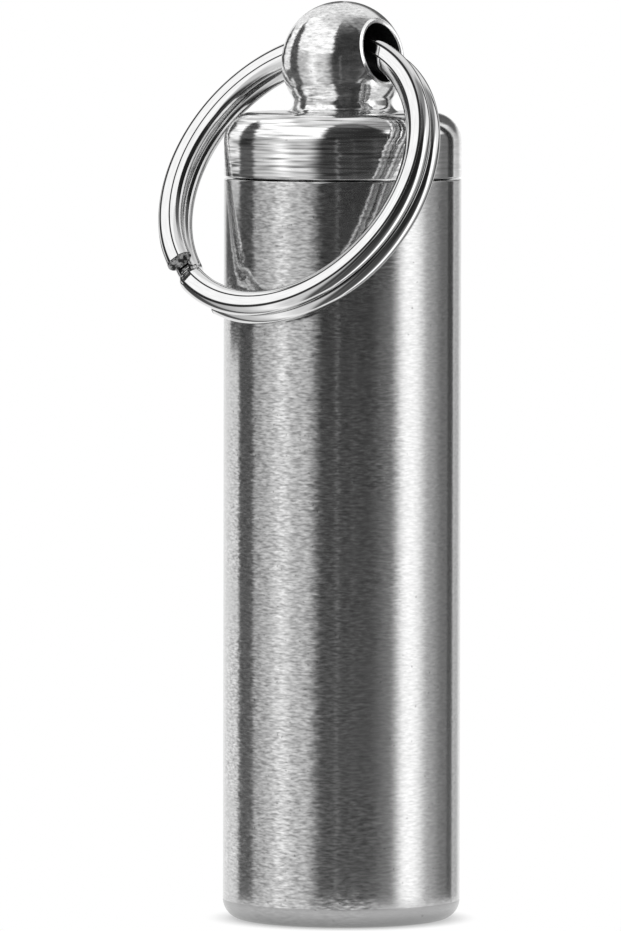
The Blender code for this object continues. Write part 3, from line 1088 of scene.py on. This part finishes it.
# What hangs in the tent, each over the last. A row gives its middle, half width and soft edge in degrees
# round from the camera towards the viewer's right, then its foot, top and soft edge in degrees up, where
# the wall is all that lies below 0 and ends at -90, then its brightness, and how it leans on the dome.
CLOTH_LEVEL = 0.95
BOUNCE_LEVEL = 0.09
BOARDS = (
    # Greys, one light and three short blacks on the wall, mirrored down both sides of the jar
    (148, 9, 6, -99, 17, 2, 0.55, 0),
    (108, 20, 10, -99, 17, 2, 0.48, 0),
    (118, 13, 10, -99, 17, 2, 0.16, 0),
    (-66, 32, 6, -99, 17, 2, 0.75, 0),
    (-92, 11, 12, -99, 17, 2, 0.54, 0),
    (-61, 7, 9, -99, 17, 2, 1.20, 0),
    (-129.5, 10.5, 3, -34, -17, 2, 0.07, 0),
    (-145, 12, 8, -28, -17, 2, 0.07, 0),
    (-154, 7, 3, -15, 17, 2, 0.03, 0),
    # Lights at the sides of the dome, its black front and its dim crown, mirrored in the cap and the ball
    (-78, 64, 6, 15, 62, 2, 1.28, 0),
    (84, 46, 6, 15, 44, 3, 1.10, 0),
    (84, 50, 12, 47, 90, 5, 0.30, 0),
    (15.5, 36.5, 3, 15, 90, 2, 0.02, 0),
    (13, 30, 6, 58, 90, 6, 0.12, 0),
    (0, 181, 1, 79, 91, 10, 0.60, 0),
    # The black front of the wall, mirrored down the middle of the jar, with the light that stands beside it
    (40, 22, 9, -99, 17, 2, 0.19, 0),
    (46, 12, 3, -22, 17, 3, 0.05, 0),
    (3.5, 33, 11, -99, 17, 2, 0.025, 0),
    (68.7, 12.2, 10, -99, 44, 3, 1.75, 0),
    # Narrow blacks near the jar's two edges, a dark board behind, and two thin gaps in the black front
    (-108.2, 12.3, 3, -99, 39, 2, 0.05, 0.86),
    (130.5, 6.5, 2, -99, 44, 4, 0.01, 0),
    (166, 18, 4, 4, 30, 5, 0.10, 0),
    (-5, 1.0, 0.8, -99, 17, 2, 0.20, 0),
    (11, 1.2, 1.0, -99, 17, 2, 0.06, 0),
)

world = bpy.data.worlds.new("studio")
bpy.context.scene.world = world
world.use_nodes = True
world.node_tree.nodes["Background"].inputs["Color"].default_value = (1, 1, 1, 1)
world.node_tree.nodes["Background"].inputs["Strength"].default_value = 1.0

bm = bmesh.new()
bmesh.ops.create_grid(bm, x_segments=1, y_segments=1, size=FLOOR_HALF)
mesh = bpy.data.meshes.new("floor")
bm.to_mesh(mesh)
bm.free()
floor = bpy.data.objects.new("floor", mesh)
bpy.context.scene.collection.objects.link(floor)


def bare_material(name):
    """A new material with its tree still empty."""
    material = bpy.data.materials.new(name)
    material.use_nodes = True
    material.node_tree.nodes.clear()
    return material, material.node_tree


# The floor shows as pure white but for a soft shadow close round the jar
material, tree = bare_material("white floor")
matt = node(tree, "ShaderNodeBsdfDiffuse", {"Color": (FLOOR_WHITE, FLOOR_WHITE, FLOOR_WHITE, 1)})
path = node(tree, "ShaderNodeLightPath").outputs
seen = maths(tree, "ADD", path["Is Camera Ray"], path["Is Glossy Ray"])
seen = maths(tree, "MINIMUM", maths(tree, "ADD", seen, path["Is Transmission Ray"]), 1.0)
away = vector_maths(tree, "LENGTH", object_place(tree))
blown = remapped(tree, away, SHADE_RADIUS, WHITE_RADIUS, FLOOR_GLOW, 1.0, "SMOOTHSTEP")
share = maths(tree, "MULTIPLY", seen, blown)
glow = node(tree, "ShaderNodeEmission", {"Color": (1, 1, 1, 1), "Strength": 1.0})
mix = node(tree, "ShaderNodeMixShader", {0: share, 1: matt.outputs[0], 2: glow.outputs[0]})
node(tree, "ShaderNodeOutputMaterial", {"Surface": mix.outputs[0]})
floor.data.materials.append(material)

tent_profile = [(TENT_FOOT_RADIUS, 0)]
tent_profile += arc(0, TENT_WALL_HEIGHT, TENT_RADIUS, 0, 90)
tent = turned("light_tent", tent_profile)
material, tree = bare_material("lit cloth")
axes = node(tree, "ShaderNodeSeparateXYZ", {0: object_place(tree)})
flat = node(tree, "ShaderNodeCombineXYZ", {"X": axes.outputs["X"], "Y": axes.outputs["Y"]}).outputs[0]
reach = vector_maths(tree, "LENGTH", flat)
above = maths(tree, "SUBTRACT", axes.outputs["Z"], TENT_WALL_HEIGHT)
up_dome = maths(tree, "ARCTAN2", maths(tree, "MAXIMUM", above, 0.0), reach)
down_wall = maths(tree, "MULTIPLY", maths(tree, "MINIMUM", above, 0.0), math.pi / 2 / TENT_WALL_HEIGHT)
rise = maths(tree, "ADD", up_dome, down_wall)

# The boards are set out by the direction in which the jar's side mirrors them, so that they look upright
# in it. Each round brings that direction, the bearing, nearer to its true value.
ahead_of = maths(tree, "ARCTAN2", axes.outputs["X"], maths(tree, "MULTIPLY", axes.outputs["Y"], -1.0))
jar_share = maths(tree, "DIVIDE", JAR_RADIUS, reach)
bearing = ahead_of
for _ in range(BEARING_ROUNDS):
    half_way = maths(tree, "SINE", maths(tree, "MULTIPLY", bearing, 0.5))
    shift = maths(tree, "ARCSINE", maths(tree, "MULTIPLY", jar_share, half_way))
    bearing = maths(tree, "ADD", ahead_of, shift)


def soft_step(value, edge, soft):
    """0 below the edge and 1 above it, over a soft edge, all in degrees."""
    low = math.radians(edge - soft)
    return remapped(tree, value, low, math.radians(edge + soft), 0.0, 1.0, "SMOOTHSTEP")


level = CLOTH_LEVEL
for middle, half_width, soft, foot, top, soft_rise, brightness, lean in BOARDS:
    leaned = maths(tree, "MULTIPLY_ADD", maths(tree, "MULTIPLY", up_dome, up_dome), lean, bearing)
    off = maths(tree, "SUBTRACT", leaned, math.radians(middle))
    off = maths(tree, "ABSOLUTE", maths(tree, "WRAP", off, math.pi, -math.pi))
    beside = soft_step(off, half_width, soft)
    shown = maths(tree, "SUBTRACT", 1.0, beside)
    shown = maths(tree, "MULTIPLY", shown, soft_step(rise, foot, soft_rise))
    shown = maths(tree, "MULTIPLY", shown, maths(tree, "SUBTRACT", 1.0, soft_step(rise, top, soft_rise)))
    level = mixed(tree, shown, level, brightness)
bounced = remapped(tree, axes.outputs["Z"], 0.0, TENT_WALL_HEIGHT, BOUNCE_LEVEL, 0.0)
level = maths(tree, "ADD", level, bounced)
glow = node(tree, "ShaderNodeEmission", {"Color": (1, 1, 1, 1), "Strength": level})
node(tree, "ShaderNodeOutputMaterial", {"Surface": glow.outputs[0]})
tent.data.materials.append(material)
tent.visible_camera = False

# The camera looks slightly down on the jar through a long lens
ahead = Vector((
    math.sin(CAMERA_YAW) * math.cos(CAMERA_PITCH),
    math.cos(CAMERA_YAW) * math.cos(CAMERA_PITCH),
    -math.sin(CAMERA_PITCH),
))
level_right = Vector((math.cos(CAMERA_YAW), -math.sin(CAMERA_YAW), 0))
level_up = level_right.cross(ahead)
right = level_right * math.cos(CAMERA_ROLL) + level_up * math.sin(CAMERA_ROLL)
up = right.cross(ahead)
camera_data = bpy.data.cameras.new("camera")
camera_data.lens = LENS
camera_data.sensor_width = SENSOR
camera_data.clip_start = CLIP_NEAR
camera_data.clip_end = CLIP_FAR
camera = bpy.data.objects.new("camera", camera_data)
turn = Matrix((right, up, -ahead)).transposed().to_4x4()
camera.matrix_world = Matrix.Translation((0, -CAMERA_DISTANCE, CAMERA_HEIGHT)) @ turn
bpy.context.scene.collection.objects.link(camera)
bpy.context.scene.camera = camera
bpy.context.scene.view_settings.view_transform = "Standard"
